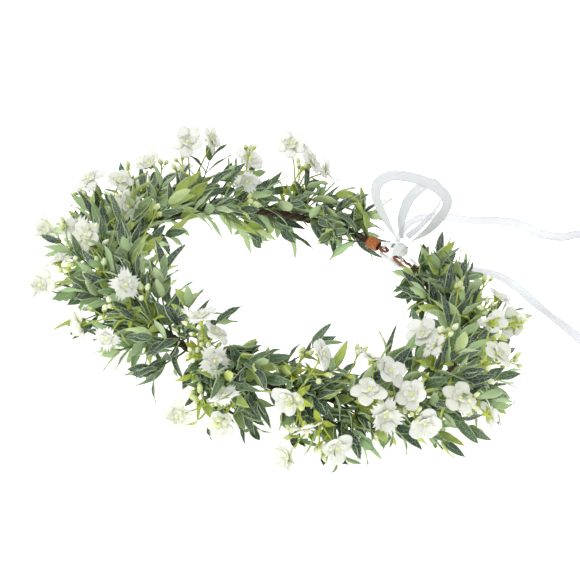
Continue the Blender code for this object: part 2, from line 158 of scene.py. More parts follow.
def overlaid(material, base, pattern, colour, span, shares):
    # lays a colour over the base: its share runs from the first to the last of shares
    # while the pattern runs over span
    share = addNode(material, "ShaderNodeMapRange", {
        "Value": pattern, "From Min": span[0], "From Max": span[1],
        "To Min": shares[0], "To Max": shares[1],
    }, {"interpolation_type": "SMOOTHSTEP"}).outputs["Result"]
    return addNode(
        material, "ShaderNodeMix", {0: share, 6: base, 7: linear(colour)}, {"data_type": "RGBA"},
    ).outputs[2]


def finishSurface(material, shader, colour, pattern, relief, strength):
    bump = addNode(
        material, "ShaderNodeBump", {"Height": pattern, "Distance": relief, "Strength": strength},
    )
    material.node_tree.links.new(bump.outputs["Normal"], shader.inputs["Normal"])
    material.node_tree.links.new(colour, shader.inputs["Base Color"])


def makeMaterial(looks):
    material, shader = newMaterial(looks["name"], looks["shader"])
    pattern, stops = looks["base"]
    base = {"Fac": patternOf(material, pattern)}
    colour = addNode(material, "ShaderNodeValToRGB", base, stops=stops).outputs["Color"]
    for pattern, *layer in looks["layers"]:
        colour = overlaid(material, colour, patternOf(material, pattern), *layer)
    pattern, relief, strength = looks["relief"]
    finishSurface(material, shader, colour, patternOf(material, pattern), relief, strength)
    return material


leafLooks = {
    # deep green cloth dusted with a pale frost, with a light midrib and margin; the
    # frost's real grains are about 0.3 mm and the cloth's threads about 0.2 mm apart, and
    # they are drawn at 0.7 mm and 0.5 mm so that they show
    "name": "printed polyester leaf, upper side",
    "shader": {"Roughness": 0.62, "IOR": 1.45, "Sheen Weight": 0.04},
    "base": ("tone", ((0.0, "#1E2D28"), (0.45, "#34483E"), (0.78, "#56704C"), (1.0, "#A6B843"))),
    "layers": (
        ((0.0007, 3.0, 0.55), "#B2C1B3", (0.48, 0.70), (0.0, 0.66)),  # frost
        ((0.006, 3.0, 0.55), "#56704C", (0.42, 0.66), (0.0, 0.35)),  # uneven dye
        ("side", "#ABC08C", (0.02, 0.12), (0.36, 0.0)),  # midrib
        ("side", "#C2D3A4", (0.72, 1.0), (0.0, 0.75)),  # margin
        ("length", "#9DB650", (0.0, 0.22), (0.7, 0.0)),  # foot
    ),
    "relief": ((0.0005, 3.0, 0.55), 0.0002, 0.6),
}
leafBackLooks = {
    # the paler back of a leaf, where the cloth shows through the print, with its threads
    # drawn as coarse as above
    "name": "printed polyester leaf, underside",
    "shader": {"Roughness": 0.6, "IOR": 1.45, "Sheen Weight": 0.08},
    "base": ("tone", ((0.0, "#8FB07E"), (0.40, "#AFC995"), (0.75, "#C4D6A6"), (1.0, "#D2DE7A"))),
    "layers": (
        ("side", "#BFD392", (0.05, 0.18), (0.6, 0.0)),  # rib
        ((0.0009, 3.0, 0.55), "#8FAC7E", (0.40, 0.70), (0.0, 0.40)),  # print that shows through
    ),
    "relief": ((0.0005, 3.0, 0.55), 0.0002, 0.6),
}
petalLooks = {
    # milky petals that light passes through, greener towards the middle of the flower
    "name": "frosted translucent polyester petal",
    "shader": {
        "Roughness": 0.55, "IOR": 1.4, "Subsurface Weight": 0.45, "Subsurface Scale": 0.004,
        "Subsurface Radius": (1.0, 1.0, 0.9), "Sheen Weight": 0.15,
    },
    "base": ("length", ((0.0, "#D3DC97"), (0.20, "#E2E7BF"), (0.48, "#EAECDD"), (1.0, "#EAEBE7"))),
    "layers": (
        ("tone", "#E4E7C4", (0.40, 1.0), (0.0, 0.40)),  # some flowers are creamier
        ((0.0011, 3.0, 0.55), "#E2E4E0", (0.45, 0.68), (0.0, 0.30)),  # veins
    ),
    "relief": ((0.0009, 3.0, 0.55), 0.0002, 0.6),
}
barkLooks = {
    # dark streaks along a dull brown strand
    "name": "paper-wrapped rattan vine",
    "shader": {"Roughness": 0.8, "IOR": 1.45},
    "base": ((0.0015, 6.0, 0.7), ((0.3, "#241812"), (0.55, "#46301F"), (0.8, "#6E4E35"))),
    "layers": (),
    "relief": ((0.0015, 6.0, 0.7), 0.0006, 0.9),
}


def stemLooks(name, young, old):
    # slightly glossy plastic that runs from an old tone to a young one
    return {
        "name": name, "shader": {"Roughness": 0.45, "IOR": 1.46},
        "base": ("tone", ((0.0, old), (1.0, young))),
        "layers": (((0.002, 3.0, 0.55), old, (0.40, 0.65), (0.0, 0.4)),),
        "relief": ((0.0006, 3.0, 0.55), 0.0002, 0.6),
    }


def wrapLooks(name, dark, light, size, roughness):
    # a dull warm brown skin with small creases of a size in metres
    creases = (size, 5.0, 0.65)
    return {
        "name": name, "shader": {"Roughness": roughness, "IOR": 1.45},
        "base": (creases, ((0.3, dark), (0.7, light))), "layers": (),
        "relief": (creases, 0.0004, 0.8),
    }


ribbonLooks = {
    "halfWidth": 0.003, "threadSpacing": 0.00075,
    # painted shade: a grey-blue laid over the thread bands, and its share, darkening the white
    # ribbon
    "threadsAndShade": ("#B4BAC4", (0.0, 1.0), (0.0, 0.42)), "relief": (0.0003, 0.5),
}


def ribbonMaterial(name, colour, alpha):
    # lengthwise threads that catch a soft streak of light, with painted shade: a grey-blue tone
    # laid over the thread bands darkens the white ribbon; the real threads lie about 0.1 mm
    # apart, and are drawn at 0.75 mm so that they show
    material, shader = newMaterial(name, {
        "Roughness": 0.36, "IOR": 1.5, "Sheen Weight": 0.30, "Sheen Roughness": 0.3,
        "Alpha": alpha, "Anisotropic": 0.4,
    })
    stored = addNode(material, "ShaderNodeAttribute", None, {"attribute_name": "place"})
    # the wave texture has 20 radians to a unit, and a unit is half the ribbon's width
    scale = 2 * math.pi * ribbonLooks["halfWidth"] / (20 * ribbonLooks["threadSpacing"])
    threadsAndShade = addNode(
        material, "ShaderNodeTexWave", {"Vector": stored.outputs["Vector"], "Scale": scale},
        {"wave_type": "BANDS", "bands_direction": "X"},
    ).outputs["Fac"]
    # painted shade: the thread bands are darkened with a grey-blue tone
    white = overlaid(material, linear(colour), threadsAndShade, *ribbonLooks["threadsAndShade"])
    finishSurface(material, shader, white, threadsAndShade, *ribbonLooks["relief"])
    return material


leafTop = makeMaterial(leafLooks)
leafUnder = makeMaterial(leafBackLooks)
darkStem = makeMaterial(stemLooks("moulded polythene stem, dark", "#6F8450", "#33452F"))
limeStem = makeMaterial(stemLooks("moulded polythene stem, lime", "#C3CE55", "#8B9C40"))
eyeSkin = makeMaterial(stemLooks("flocked flower eye", "#E9EDB4", "#C9D47E"))
budSkin = makeMaterial(stemLooks("moulded polythene bud, white", "#EEF1D2", "#C6D183"))
petal = makeMaterial(petalLooks)
bark = makeMaterial(barkLooks)
paper = makeMaterial(wrapLooks("twisted brown paper wire", "#5B3320", "#9C6540", 0.0012, 0.75))
floralTape = makeMaterial(
    wrapLooks("stretched crepe floral tape", "#8A4724", "#BE7440", 0.0010, 0.7)
)
satin = ribbonMaterial("woven white satin ribbon", "#EEEFF2", 1.0)
sheer = ribbonMaterial("woven sheer white ribbon", "#EFF1F4", 0.70)
greens = (leafTop, leafUnder, darkStem, limeStem, budSkin)
print("materials made")


# Mesh building: every piece is one batch of quads with a "place" for its materials

def newBatch():
    return {"points": [], "faces": [], "looks": [], "places": [], "count": 0}


def addQuads(batch, points, faces, look, places):  # look is one slot, or one for each face
    batch["points"].append(np.asarray(points, float))
    batch["faces"].append(np.asarray(faces, int) + batch["count"])
    batch["looks"].append(np.full(len(faces), look, int))
    batch["places"].append(np.asarray(places, float))
    batch["count"] += len(points)


def gridFaces(rows, columns, start=0, flip=False):
    index = np.arange(rows * columns).reshape(rows, columns) + start
    faces = np.stack([index[:-1, :-1], index[:-1, 1:], index[1:, 1:], index[1:, :-1]], -1)
    faces = faces.reshape(-1, 4)
    return faces[:, ::-1] if flip else faces


def addBlade(batch, middle, normals, thickness, looks, places):
    rows, columns = middle.shape[:2]
    half = normals * (thickness / 2)
    count = rows * columns
    index = np.arange(count).reshape(rows, columns)
    rim = np.concatenate([index[0, :], index[1:, -1], index[-1, -2::-1], index[-2:0:-1, 0]])
    after = np.roll(rim, -1)
    top, under = gridFaces(rows, columns), gridFaces(rows, columns, count, True)
    edge = np.stack([rim, rim + count, after + count, after], -1)
    addQuads(
        batch, np.concatenate([(middle + half).reshape(-1, 3), (middle - half).reshape(-1, 3)]),
        np.concatenate([top, under, edge]),
        np.repeat([looks[0], looks[1], looks[0]], [len(top), len(under), len(edge)]),
        np.concatenate([places.reshape(-1, 3)] * 2),
    )


def gridNormals(grid, facing):
    normals = np.cross(np.gradient(grid, axis=0), np.gradient(grid, axis=1))
    sizes = np.linalg.norm(normals, axis=2, keepdims=True)
    normals = np.where(sizes > 1e-12, normals / np.maximum(sizes, 1e-12), np.array(facing))
    return -normals if (normals * np.array(facing)).sum() < 0 else normals


def pathFrames(path):
    path = [Vector(p) for p in path]
    tangents = [(b - a).normalized() for a, b in zip(path, path[1:])]
    tangents = [tangents[0]] + [
        (a + b).normalized() for a, b in zip(tangents, tangents[1:])
    ] + [tangents[-1]]
    side = tangents[0].orthogonal().normalized()
    frames = []
    for point, tangent in zip(path, tangents):
        side = (side - tangent * side.dot(tangent)).normalized()
        frames.append((point, tangent, side, tangent.cross(side)))
    return frames


def addTube(batch, path, radii, sides, look, tone, squash=1.0):
    frames = pathFrames(path)
    rings = []
    for (point, _, side, other), radius in zip(frames, radii):
        turns = [2 * math.pi * i / sides for i in range(sides)]
        rings.append([
            point + side * (math.cos(t) * radius) + other * (math.sin(t) * radius * squash)
            for t in turns
        ])
    rows = len(rings)
    points = [tuple(p) for ring in rings for p in ring]
    index = np.arange(rows * sides).reshape(rows, sides)
    right = np.roll(index, -1, axis=1)
    faces = np.stack([index[:-1], right[:-1], right[1:], index[1:]], -1).reshape(-1, 4)
    places = [(0.5, row / max(1, rows - 1), tone) for row in range(rows) for _ in range(sides)]
    addQuads(batch, points, faces, look, places)


def settleOnTable(points, lowest=0.0005, soft=0.0030):  # eases what hangs lower up to lowest
    z = points[:, 2]
    low = z < soft
    span = soft - lowest
    points[low, 2] = lowest + span * np.exp((z[low] - soft) / span)
    return points


def finishBatch(name, batch, materials):
    points = settleOnTable(np.concatenate(batch["points"]))
    faces = np.concatenate(batch["faces"])
    mesh = bpy.data.meshes.new(name)
    mesh.from_pydata(points.tolist(), [], faces.tolist())
    mesh.polygons.foreach_set("material_index", np.concatenate(batch["looks"]).astype(np.int32))
    mesh.polygons.foreach_set("use_smooth", np.ones(len(faces), bool))
    for material in materials:
        mesh.materials.append(material)
    stored = mesh.attributes.new("place", "FLOAT_VECTOR", "POINT")
    stored.data.foreach_set("vector", np.concatenate(batch["places"]).astype(np.float32).ravel())
    mesh.update()
    thing = bpy.data.objects.new(name, mesh)
    bpy.context.scene.collection.objects.link(thing)
    return thing


def rotated(direction, axis, degrees):
    return Matrix.Rotation(math.radians(degrees), 3, axis) @ direction


# Leaves and sprigs

foliage = {
    "leafLength": (0.0135, 0.0235), "leafWidth": (0.0047, 0.0073), "leafThickness": 0.00028,
    "rows": 8, "columns": 5, "footHalfWidth": 0.00022, "fold": 0.22, "bend": (2.0, 40.0),
    "twist": 28.0, "skew": 0.12, "ripple": 0.0004, "jagged": 0.07, "teeth": (0.80, 1.15),
    "lean": (26.0, 62.0), "tipLean": 0.55, "roll": 34.0, "tipShrink": 0.22, "limeShare": 0.13,
    "turnedUp": 0.82, "nodeStep": 0.0074, "nodeTurn": 86.0, "bareFoot": 0.0050,
    "stemRadius": 0.00050, "stemSteps": 8, "stemBend": (-22.0, 34.0),
    "mainLength": 0.036, "companionLength": (0.021, 0.037), "sweep": 32.0, "sweeps": (14.0, 56.0),
    "companions": ((-13.0, 24.0), (-6.0, -26.0), (6.0, 22.0), (13.0, -20.0)), "nudge": 2.5,
    "tiltNudge": 10.0, "budClusters": 1, "budSpread": 14.0, "budTilt": 35.0, "budSweep": 55.0,
    "budStalk": (0.016, 0.026), "budStalkRadius": 0.00042,
    "fullAt": (-270, -245, -200, -150, -115, -85, -55, -20, 20, 60, 80),
    "fullness": (0.68, 0.92, 1.14, 1.24, 1.12, 0.90, 0.94, 1.08, 1.12, 0.96, 0.68),
}


def addLeaf(batch, foot, axis, normal, length, width, chance, tone, looks=(0, 1)):
    v = np.linspace(0.0, 1.0, foliage["rows"])[:, None]
    u = np.linspace(-1.0, 1.0, foliage["columns"])[None, :]
    half = width / 2 * np.sin(np.pi * v ** 0.82) ** 0.85
    half = half + foliage["footHalfWidth"] * (1 - v)
    if chance.random() < foliage["jagged"]:
        teeth = np.where(np.arange(len(v)) % 2 == 0, *foliage["teeth"])[:, None]
        half = half * (1 + (teeth - 1) * np.abs(u) ** 2)
    bend = math.radians(chance.uniform(*foliage["bend"]))
    reach = length * np.sin(bend * v) / bend
    drop = -length * (1 - np.cos(bend * v)) / bend
    ripple = foliage["ripple"] * u * np.sin(
        v * math.pi * chance.uniform(2.0, 4.0) + chance.uniform(0, 6.3)
    )
    lift = drop + foliage["fold"] * half * np.abs(u) ** 1.3 + ripple * np.abs(u)
    twist = math.radians(chance.uniform(-foliage["twist"], foliage["twist"])) * v
    sideways = u * half
    lean = chance.uniform(-foliage["skew"], foliage["skew"]) * length * v ** 2
    side = axis.cross(normal).normalized()
    normal = side.cross(axis).normalized()
    x = sideways * np.cos(twist) + lean
    z = lift + sideways * np.sin(twist)
    grid = (
        np.array(foot) + np.array(axis) * (reach + 0 * u)[..., None]
        + np.array(side) * x[..., None] + np.array(normal) * z[..., None]
    )
    normals = gridNormals(grid, normal)
    places = np.stack(np.broadcast_arrays(u, v, tone), -1)
    addBlade(
        batch, grid[:, ::-1], normals[:, ::-1], foliage["leafThickness"], looks, places[:, ::-1],
    )


def bentPath(foot, direction, towards, length, bend, steps):
    path = [foot.copy()]
    heading = direction.normalized()
    axis = heading.cross(towards)
    axis = axis.normalized() if axis.length > 1e-6 else heading.orthogonal().normalized()
    for _ in range(steps):
        heading = rotated(heading, axis, bend / steps)
        path.append(path[-1] + heading * (length / steps))
    return path


def addSprig(batch, foot, direction, towards, length, chance):
    steps = foliage["stemSteps"]
    path = bentPath(foot, direction, towards, length, chance.uniform(*foliage["stemBend"]), steps)
    base = foliage["stemRadius"]
    radii = [base * (1.25 - 0.7 * i / steps) for i in range(steps + 1)]
    addTube(batch, path, radii, 5, 2, chance.uniform(0.0, 0.5))
    frames = pathFrames(path)
    gap = foliage["nodeStep"]
    count = max(2, int((length - foliage["bareFoot"]) / gap))
    spin = chance.uniform(0.0, 360.0)
    sprigTone = chance.random()
    for node in range(count + 1):
        place = min(steps, (foliage["bareFoot"] + node * gap) / length * steps)
        low = min(steps - 1, int(place))
        point = frames[low][0].lerp(frames[low + 1][0], place - low)
        stem = frames[low][1]
        last = node == count
        for number in range(3 if last else 2):
            turn = spin + node * foliage["nodeTurn"] + number * (120.0 if last else 180.0)
            radial = rotated(frames[low][2], stem, turn + chance.uniform(-20, 20))
            lean = chance.uniform(*foliage["lean"]) * (foliage["tipLean"] if last else 1.0)
            lean = math.radians(lean)
            axis = stem * math.cos(lean) + radial * math.sin(lean)
            normal = stem * math.sin(lean) - radial * math.cos(lean)
            normal = rotated(normal, axis, chance.uniform(-foliage["roll"], foliage["roll"]))
            if normal.z < 0 and chance.random() < foliage["turnedUp"]:
                normal = -normal
            size = 1.0 - foliage["tipShrink"] * node / count
            long = chance.uniform(*foliage["leafLength"]) * size
            wide = chance.uniform(*foliage["leafWidth"]) * size
            tone = min(0.85, 0.45 * sprigTone + 0.55 * chance.random() ** 1.5)
            if chance.random() < foliage["limeShare"]:
                tone = 1.0
            addLeaf(batch, point + radial * base, axis, normal, long, wide, chance, tone)


buds = {
    "length": 0.0042, "radius": 0.0014, "stalkRadius": 0.00034, "stalkLength": (0.004, 0.0085),
    # share of the length, and share of the radius there
    "outline": ((0.0, 0.20), (0.10, 0.62), (0.30, 0.98), (0.52, 1.0), (0.74, 0.74), (0.92, 0.34),
                (1.0, 0.05)),
}


def addBud(batch, foot, direction, chance):
    length = buds["length"] * chance.uniform(0.7, 1.2)
    radius = buds["radius"] * chance.uniform(0.8, 1.15)
    path = [foot + direction * (length * share) for share, _ in buds["outline"]]
    radii = [radius * share for _, share in buds["outline"]]
    addTube(batch, path, radii, 8, 4, chance.uniform(0.2, 1.0))
    cap = [foot - direction * 0.0006, foot + direction * 0.0005, foot + direction * 0.0013]
    addTube(batch, cap, [0.0004, 0.0010, 0.0013], 6, 3, chance.random())


def addBudCluster(batch, foot, direction, count, chance):
    for number in range(count):
        turn = 360.0 * number / count + chance.uniform(-30, 30)
        out = rotated(direction.orthogonal().normalized(), direction, turn)
        heading = (direction + out * chance.uniform(0.35, 0.95)).normalized()
        reach = chance.uniform(*buds["stalkLength"])
        path = bentPath(foot, direction, heading, reach, 30.0, 4)
        addTube(batch, path, [buds["stalkRadius"]] * 5, 5, 3, 0.7)
        addBud(batch, path[-1], (path[-1] - path[-2]).normalized(), chance)


limeLeaves = {"length": (0.006, 0.012), "width": 0.0034}


def addLimeLeaves(batch, foot, direction, chance):
    first = rotated(direction.orthogonal().normalized(), direction, chance.uniform(0, 360))
    for number in range(4):
        out = rotated(first, direction, 90.0 * number + chance.uniform(-20, 20))
        axis = (out + direction * chance.uniform(0.3, 0.9)).normalized()
        long = chance.uniform(*limeLeaves["length"])
        addLeaf(batch, foot, axis, direction, long, limeLeaves["width"], chance, 0.95, (3, 3))


def fullness(angle):
    return float(np.interp(angle, foliage["fullAt"], foliage["fullness"]))


def sprigStart(angle, lift, way, sweep):
    forward = along(angle) * way
    away = lifted(angle, lift)
    turn = math.radians(sweep)
    foot = nearVine(angle, hoop["vineRadius"] * 0.9, lift)
    return foot, forward * math.cos(turn) + away * math.sin(turn), away


def keptFromSeam(angle, way):
    edge = hoop["seam"] + way * hoop["parting"]
    return max(angle, edge) if way > 0 else min(angle, edge)


# lift of each lane round the vine, and the hoop angles of its sprigs
rightLanes = {
    "low": (-52.0, (-84.0, -50.0, -16.0, 24.0)),
    "outer": (8.0, (-80.0, -42.0, -4.0, 40.0)),
    "upper": (62.0, (-85.0, -52.0, -17.0, 44.0)),
    "inner": (128.0, (-66.0, -34.0, 24.0)),
}
leftLanes = {
    "low": (-52.0, (-96.0, -130.0, -168.0, -214.0)),
    "outer": (8.0, (-107.0, -138.0, -180.0, -226.0)),
    "upper": (62.0, (-96.0, -118.0, -155.0, -194.0)),
    "inner": (128.0, (-110.0, -152.0, -196.0)),
}
sides = (("right", 1.0, rightLanes), ("left", -1.0, leftLanes))


def makeCluster(name, angle, lift, way, chance):
    batch = newBatch()
    full = fullness(angle)
    foot, grow, away = sprigStart(angle, lift, way, foliage["sweep"] * full)
    addSprig(batch, foot, grow, away, foliage["mainLength"], chance)
    for step, tilt in foliage["companions"]:
        nudge = chance.uniform(-foliage["nudge"], foliage["nudge"])
        near = keptFromSeam(angle + (step + nudge) * way, way)
        turn = lift + tilt + chance.uniform(-foliage["tiltNudge"], foliage["tiltNudge"])
        foot, grow, away = sprigStart(near, turn, way, chance.uniform(*foliage["sweeps"]) * full)
        addSprig(batch, foot, grow, away, chance.uniform(*foliage["companionLength"]) * full, chance)
    for _ in range(foliage["budClusters"]):
        spread = chance.uniform(-foliage["budSpread"], foliage["budSpread"])
        turn = lift + chance.uniform(-foliage["budTilt"], foliage["budTilt"])
        near = keptFromSeam(angle + spread, way)
        foot, grow, away = sprigStart(near, turn, way, foliage["budSweep"])
        path = bentPath(foot, grow, up, chance.uniform(*foliage["budStalk"]) * full, 30.0, 6)
        addTube(batch, path, [foliage["budStalkRadius"]] * 7, 5, 3, 0.8)
        addBudCluster(batch, path[-1], (path[-1] - path[-2]).normalized(), 3, chance)
        addLimeLeaves(batch, path[3], (path[4] - path[3]).normalized(), chance)
    return finishBatch(name, batch, greens)


for sideName, way, lanes in sides:
    for lane, (lift, angles) in lanes.items():
        for number, angle in enumerate(angles, 1):
            chance = random.Random(f"{sideName} {lane} {number}")
            node = f"{sideName}_leaf_sprig_{lane}_{number}"
            cluster = makeCluster(f"{node}_leaves", angle, lift, way, chance)
            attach(cluster, f"{sideName}_side")
            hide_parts(node)


endFill = {  # hoop angle and lift of the sprigs that close the foliage up to the tape
    "right": ((50, 12), (55, 60), (59, 100), (61, 24), (64, 62), (56, -40), (47, 150), (57, 150)),
    "left": ((-232, 62), (-238, 12), (-244, 100), (-250, 38), (-251, 74), (-240, 150),
             (-228, -40), (-251, -34), (-247, 166), (-222, 116)),
}
endTurned = {  # short sprigs at the very ends that lie back over the vine
    "right": ((75, 30), (76, 75), (77, 120), (77, 165), (70, 200)),
    "left": ((-262, 20), (-263, 80), (-261, 140), (-262, 210)),
}
endLooks = {
    "sweeps": (30.0, 60.0), "length": (0.015, 0.023), "turnedSweeps": (24.0, 42.0),
    "turnedLength": 0.014,
}


def makeEndFill(sideName, way):
    batch = newBatch()
    chance = random.Random(f"{sideName} end")
    for angle, lift in endFill[sideName]:
        foot, grow, away = sprigStart(angle, lift, way, chance.uniform(*endLooks["sweeps"]))
        addSprig(batch, foot, grow, away, chance.uniform(*endLooks["length"]), chance)
    for angle, lift in endTurned[sideName]:
        foot, grow, away = sprigStart(angle, lift, -way, chance.uniform(*endLooks["turnedSweeps"]))
        addSprig(batch, foot, grow, away, endLooks["turnedLength"], chance)
    piece = finishBatch(f"{sideName}_end_leaves", batch, greens)
    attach(piece, f"{sideName}_side")


makeEndFill("right", 1.0)
makeEndFill("left", -1.0)


tuftLooks = {  # sprigs over the seam at the front
    "lifts": (-60.0, -20.0, 20.0, 55.0, 95.0, 140.0), "offset": 1.5, "sweep": 66.0,
    "length": 0.024,
}


def makeTuft():
    batch = newBatch()
    chance = random.Random("front tuft")
    for number, lift in enumerate(tuftLooks["lifts"]):
        way = 1.0 if number % 2 else -1.0
        start = hoop["seam"] - way * tuftLooks["offset"]
        foot, grow, away = sprigStart(start, lift, way, tuftLooks["sweep"])
        addSprig(batch, foot, grow, away, tuftLooks["length"], chance)
    return finishBatch("front_tuft", batch, greens)


tuft = makeTuft()
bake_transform(tuft)
print("leaves made")


# Blossoms and buds

flowers = {
    "petalLength": 0.0094, "petalWidth": 0.0080, "petalThickness": 0.00022, "rows": 7,
    "cup": (2.0, 24.0), "curl": (-26.0, 12.0), "innerScale": 0.50, "sizes": (0.80, 1.12),
    "fringed": 0.42, "turned": {"right": (0.06, -0.16, 0.22), "left": (0.62, -0.52, 0.40)},
    "loose": 0.75, "stemRadius": 0.00048, "sepalLength": 0.0040, "sepalWidth": 0.0016,
    "forkReach": 0.017, "budReach": 0.030, "midBuds": 0.55,
}
# hoop angle and lift of each spray, then hoop angle, reach in mm and lift of its blossoms
rightSprays = (
    (-78.0, 30.0, ((-81.0, 40, 60), (-76.0, 34, 60), (-73.0, 30, 34))),
    (-67.0, -14.0, ((-77.0, 40, -22), (-67.0, 38, -16), (-68.0, 36, 12))),
    (-52.0, 22.0, ((-54.0, 33, 22), (-48.0, 38, 2), (-47.0, 35, 70))),
    (-44.0, -14.0, ((-51.0, 42, -22), (-39.0, 32, -20))),
    (-31.0, 30.0, ((-35.0, 36, 44), (-31.0, 38, 22), (-33.0, 36, 74))),
    (-23.0, 24.0, ((-28.0, 34, 62), (-24.0, 36, 40), (-20.0, 36, 14))),
    (-4.0, 86.0, ((-2.0, 32, 112), (-8.0, 33, 88))),
    (-6.0, 26.0, ((-9.0, 36, 32), (2.0, 38, 8))),
    (19.0, 30.0, ((13.0, 36, 48), (25.0, 33, 68))),
    (38.0, 28.0, ((41.0, 34, 58), (44.0, 34, 14))),
)
leftSprays = (
    (-104.0, 26.0, ((-105.0, 34, 50), (-100.0, 38, 4), (-111.0, 38, -8))),
    (-124.0, 26.0, ((-127.0, 46, -4), (-132.0, 34, 44), (-131.0, 38, 14))),
    (-143.0, 24.0, ((-147.0, 44, 6), (-142.0, 30, 30), (-150.0, 28, 88))),
    (-160.0, 30.0, ((-161.0, 42, 42), (-164.0, 34, 66))),
    (-183.0, 24.0, ((-184.0, 34, 52), (-188.0, 36, 6))),
    (-200.0, 28.0, ((-196.0, 42, 66), (-205.0, 42, 66), (-201.0, 36, 18))),
    (-216.0, 74.0, ((-218.0, 31, 60), (-213.0, 30, 118))),
    (-234.0, 28.0, ((-229.0, 42, 60), (-237.0, 34, 62), (-241.0, 38, 30))),
)


def addPetal(batch, centre, axis, radial, length, width, cup, fringed, chance, tone):
    columns = 9 if fringed else 7
    v = np.linspace(0.0, 1.0, flowers["rows"])[:, None]
    u = np.linspace(-1.0, 1.0, columns)[None, :]
    half = width / 2 * (0.22 + 0.78 * np.sin(np.pi / 2 * np.minimum(1.0, v / 0.68)) ** 1.3)
    crown = 1.0 - 0.40 * np.abs(u) ** 2.6 * v ** 2
    if fringed:
        teeth = np.where(np.arange(columns) % 2 == 0, 1.12, 0.80)[None, :]
        crown = crown * (1 + (teeth - 1) * v ** 3)
    else:
        crown = crown * (1 - 0.03 * np.cos(u * math.pi) * v ** 4)
    reachOut = length * v * crown
    angles = math.radians(cup) + math.radians(chance.uniform(*flowers["curl"])) * v
    outwards, upwards = reachOut * np.cos(angles), reachOut * np.sin(angles)
    wave = 0.00025 * np.sin(u * 4.2 + chance.uniform(0, 6.3)) * v + 0.0006 * (u ** 2) * v
    side = axis.cross(radial).normalized()
    grid = (
        np.array(centre) + np.array(radial) * outwards[..., None]
        + np.array(axis) * (upwards + wave)[..., None]
        + np.array(side) * (u * half)[..., None]
    )
    normals = gridNormals(grid, axis)
    places = np.stack(np.broadcast_arrays(u, v, tone), -1)
    addBlade(batch, grid, normals, flowers["petalThickness"], (0, 0), places)


def addBlossom(petals, stems, centre, facing, chance):
    fringed = chance.random() < flowers["fringed"]
    size = chance.uniform(*flowers["sizes"])
    cup = chance.uniform(*flowers["cup"])
    tone = chance.random()
    start = centre - facing * 0.0026
    first = rotated(facing.orthogonal().normalized(), facing, chance.uniform(0, 360))
    for layer, (scale, lift) in enumerate(((1.0, 0.0), (flowers["innerScale"], 8.0))):
        for number in range(5):
            radial = rotated(first, facing, 72.0 * number + 36.0 * layer + chance.uniform(-6, 6))
            addPetal(
                petals, start + facing * (0.0004 + 0.0007 * layer), facing, radial,
                flowers["petalLength"] * size * scale * chance.uniform(0.94, 1.06),
                flowers["petalWidth"] * size * scale, cup + lift + chance.uniform(-7, 7),
                fringed, chance, tone,
            )
    eye = [start + facing * height for height in (0.0002, 0.0013, 0.0021, 0.0025)]
    addTube(petals, eye, (0.0014, 0.0013, 0.0008, 0.0001), 9, 1, 1.0)
    throat = [start - facing * 0.0034, start - facing * 0.0016, start + facing * 0.0006]
    addTube(stems, throat, (0.0006, 0.0012, 0.0019), 8, 3, 0.8)
    for number in range(5):
        radial = rotated(first, facing, 72.0 * number + 20.0)
        lean = math.radians(chance.uniform(35.0, 70.0))
        axis = facing * math.cos(lean) + radial * math.sin(lean)
        normal = facing * math.sin(lean) - radial * math.cos(lean)
        addLeaf(
            stems, start - facing * 0.0012 + radial * 0.0010, axis, normal,
            flowers["sepalLength"], flowers["sepalWidth"], chance, 1.0, (3, 3),
        )


def makeSpray(angle, lift, blossoms, turned, chance):
    petals, stems = newBatch(), newBatch()
    radius = flowers["stemRadius"]
    foot = nearVine(angle, hoop["vineRadius"] * 0.8, lift)
    fork = nearVine(angle, flowers["forkReach"], lift)
    path = [foot, foot.lerp(fork, 0.5), fork]
    addTube(stems, path, [radius * 1.3, radius * 1.1, radius * 1.2], 6, 3, 0.3)
    knuckle = [fork + up * rise for rise in (-0.0012, -0.0006, 0.0006, 0.0012)]
    addTube(stems, knuckle, (0.0002, 0.0010, 0.0010, 0.0002), 6, 3, 0.6)
    for at, reach, rise in blossoms:
        centre = nearVine(at, reach / 1000, rise)
        facing = (centre - fork).normalized()
        sag = up.cross(facing)
        sag = sag.normalized() * chance.uniform(-0.0016, 0.0016) if sag.length > 1e-4 else sag
        middle = fork.lerp(centre, 0.5) + up * chance.uniform(0.0005, 0.0022) + sag
        base = centre - facing * 0.0050
        path = [fork, fork.lerp(middle, 0.5), middle, middle.lerp(base, 0.5), base]
        addTube(stems, path, [radius] * 5, 5, 3, chance.uniform(0.4, 0.9))
        loose = [chance.uniform(-flowers["loose"], flowers["loose"]) for _ in range(3)]
        tilted = (facing + Vector(turned) + Vector(loose)).normalized()
        addBlossom(petals, stems, centre, tilted, chance)
        if chance.random() < flowers["midBuds"]:
            off = rotated(facing.orthogonal().normalized(), facing, chance.uniform(0, 360))
            addBudCluster(stems, middle, (facing * 0.4 + off).normalized(), 2, chance)
    bud = nearVine(angle, flowers["budReach"], lift)
    addTube(stems, [fork, fork.lerp(bud, 0.5), bud], [radius] * 3, 5, 3, 0.7)
    addBudCluster(stems, bud, (bud - fork).normalized(), 3, chance)
    addLimeLeaves(stems, fork, lifted(angle, lift), chance)
    return petals, stems


for sideName, sprays in (("right", rightSprays), ("left", leftSprays)):
    for number, (angle, lift, blossoms) in enumerate(sprays, 1):
        node = f"{sideName}_flower_spray_{number}"
        petals, stems = makeSpray(
            angle, lift, blossoms, flowers["turned"][sideName], random.Random(node)
        )
        blooms = finishBatch(f"{node}_petals", petals, (petal, eyeSkin))
        stalks = finishBatch(f"{node}_stems", stems, greens)
        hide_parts(node)
        for piece in (blooms, stalks):
            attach(piece, f"{sideName}_side")
print("blossoms made")


# Vine, end loops and tape

vine = {
    "strands": 3, "strandRadius": 0.00112, "spread": 0.00108, "steps": 300, "pitch": 0.016,
    "length": 0.56,
}


